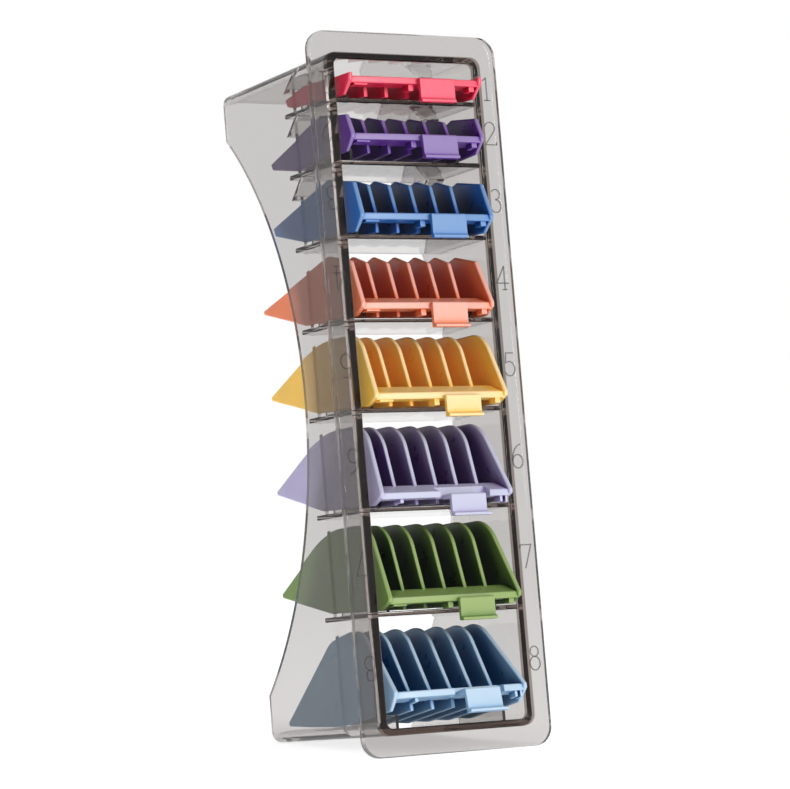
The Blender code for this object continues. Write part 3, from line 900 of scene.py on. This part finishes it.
def front_edges(tree):
    """1 on the front ends of the box's walls and shelves, the mask for a painted shade that stands in for how
    dark they look as light leaves them lengthways.
    """
    place = tree.nodes.new("ShaderNodeTexCoord")
    split = tree.nodes.new("ShaderNodeSeparateXYZ")
    tree.links.new(place.outputs["Object"], split.inputs["Vector"])
    corner = BOX_CORNER * MM
    beyond = []
    for axis, half in (("X", BOX_WIDTH / 2 * MM), ("Z", BOX_HEIGHT / 2 * MM)):
        distance = mathematics(tree, "ABSOLUTE", split.outputs[axis])
        offset = mathematics(tree, "SUBTRACT", distance, half - corner)
        beyond.append(mathematics(tree, "POWER", mathematics(tree, "MAXIMUM", offset, 0.0), 2.0))
    reach = mathematics(tree, "SQRT", mathematics(tree, "ADD", *beyond))
    inside = between(tree, reach, corner, corner - 0.3 * MM)
    near = between(tree, split.outputs["Y"], 1.5 * MM, 1.2 * MM)
    return mathematics(tree, "MULTIPLY", inside, near)


def smoked_plastic():
    """Clear brown-grey plastic, darkest where light travels far through it, with painted shade on the front
    ends of its walls and shelves.
    """
    material, tree, shader = new_material("smoked_plastic")
    output = tree.nodes["Material Output"]
    # painted shade: the front ends of the walls and shelves get a dark brown base colour in place of the
    # darkness that light leaving them lengthways gives
    tint_and_edge_shade = blended(tree, front_edges(tree), (0.60, 0.59, 0.58), (0.13, 0.095, 0.08))
    tree.links.new(tint_and_edge_shade, shader.inputs["Base Color"])
    shader.inputs["Transmission Weight"].default_value = 0.97
    shader.inputs["IOR"].default_value = 1.3
    tree.links.new(noise(tree, 180.0, 6.0, 0.015, 0.06), shader.inputs["Roughness"])
    tree.links.new(bump(tree, noise(tree, 30.0, 2.0, 0.0, 1.0), 0.00004, 0.2), shader.inputs["Normal"])
    through = tree.nodes.new("ShaderNodeBsdfTransparent")
    through.inputs["Color"].default_value = (0.36, 0.35, 0.34, 1.0)
    path = tree.nodes.new("ShaderNodeLightPath")
    mix = tree.nodes.new("ShaderNodeMixShader")
    tree.links.new(path.outputs["Is Shadow Ray"], mix.inputs["Fac"])
    tree.links.new(shader.outputs["BSDF"], mix.inputs[1])
    tree.links.new(through.outputs["BSDF"], mix.inputs[2])
    tree.links.new(mix.outputs["Shader"], output.inputs["Surface"])
    smoke = tree.nodes.new("ShaderNodeVolumeAbsorption")
    smoke.inputs["Color"].default_value = (0.36, 0.21, 0.15, 1.0)
    smoke.inputs["Density"].default_value = 28.0
    tree.links.new(smoke.outputs["Volume"], output.inputs["Volume"])
    return material


def floor_material():
    """White paint, with a glow that makes up for the weak light of the white surround."""
    material, tree, shader = new_material("pale_floor")
    paint = blended(tree, noise(tree, 3.0, 2.0, 0.0, 1.0), (0.90, 0.90, 0.90), (0.93, 0.93, 0.93))
    tree.links.new(paint, shader.inputs["Base Color"])
    shader.inputs["Roughness"].default_value = 0.9
    shader.inputs["Specular IOR Level"].default_value = 0.0
    shader.inputs["Emission Color"].default_value = (1.0, 1.0, 1.0, 1.0)
    shader.inputs["Emission Strength"].default_value = 1.0 - 0.9 * AMBIENT
    return material


# The studio

def studio_floor():
    """A wide slab under the piece, with its top at the ground."""
    mesh = bmesh.new()
    half = FLOOR_HALF / MM
    outline = rectangle((-half, -half), (half, half), 0.0)
    loft(mesh, [(outline, -FLOOR_DEPTH / MM), (outline, 0.0)], "z")
    obj = new_object(mesh, Matrix.Identity(4))
    obj.name = "floor"
    obj.data.materials.append(floor_material())


def white_world():
    """A white surround that lights matt surfaces less than it shows, so that the lamps shape the piece."""
    world = bpy.data.worlds.new("studio")
    world.use_nodes = True
    tree = world.node_tree
    background = tree.nodes["Background"]
    background.inputs["Color"].default_value = (1.0, 1.0, 1.0, 1.0)
    path = tree.nodes.new("ShaderNodeLightPath")
    strength = between(tree, path.outputs["Diffuse Depth"], 0.0, 1.0, 1.0, AMBIENT)
    tree.links.new(strength, background.inputs["Strength"])
    bpy.context.scene.world = world


def soft_light(lamp):
    """A square lamp that points at the middle of the piece."""
    light = bpy.data.lights.new(lamp.name, "AREA")
    light.shape = "SQUARE"
    light.size = lamp.size
    light.energy = lamp.power
    obj = bpy.data.objects.new(lamp.name, light)
    bpy.context.scene.collection.objects.link(obj)
    obj.location = lamp.place
    obj.rotation_euler = (Vector(LAMP_TARGET) - Vector(lamp.place)).to_track_quat("-Z", "Y").to_euler()


def add_camera(stand):
    """The camera, set in the stand's axes from its place, its direction and its roll."""
    back = Vector(
        (
            -math.sin(CAMERA_AZIMUTH) * math.cos(CAMERA_ELEVATION),
            -math.cos(CAMERA_AZIMUTH) * math.cos(CAMERA_ELEVATION),
            math.sin(CAMERA_ELEVATION),
        )
    )
    level = (-back).cross(Vector((0.0, 0.0, 1.0))).normalized()
    upright = level.cross(-back)
    right = math.cos(CAMERA_ROLL) * level + math.sin(CAMERA_ROLL) * upright
    up = math.cos(CAMERA_ROLL) * upright - math.sin(CAMERA_ROLL) * level
    turn = Matrix((right, up, back)).transposed().to_4x4()
    data = bpy.data.cameras.new("camera")
    data.lens = CAMERA_LENS
    camera = bpy.data.objects.new("camera", data)
    bpy.context.scene.collection.objects.link(camera)
    camera.matrix_world = stand @ Matrix.Translation(Vector(CAMERA_PLACE) * MM) @ turn
    bpy.context.scene.camera = camera


bpy.context.scene.view_settings.view_transform = "Standard"
stand_axes = build_stand()
build_numerals(stand_axes)
for each in GUARDS:
    build_guard(each, stand_axes)
studio_floor()
white_world()
for each in LAMPS:
    soft_light(each)
add_camera(stand_axes)
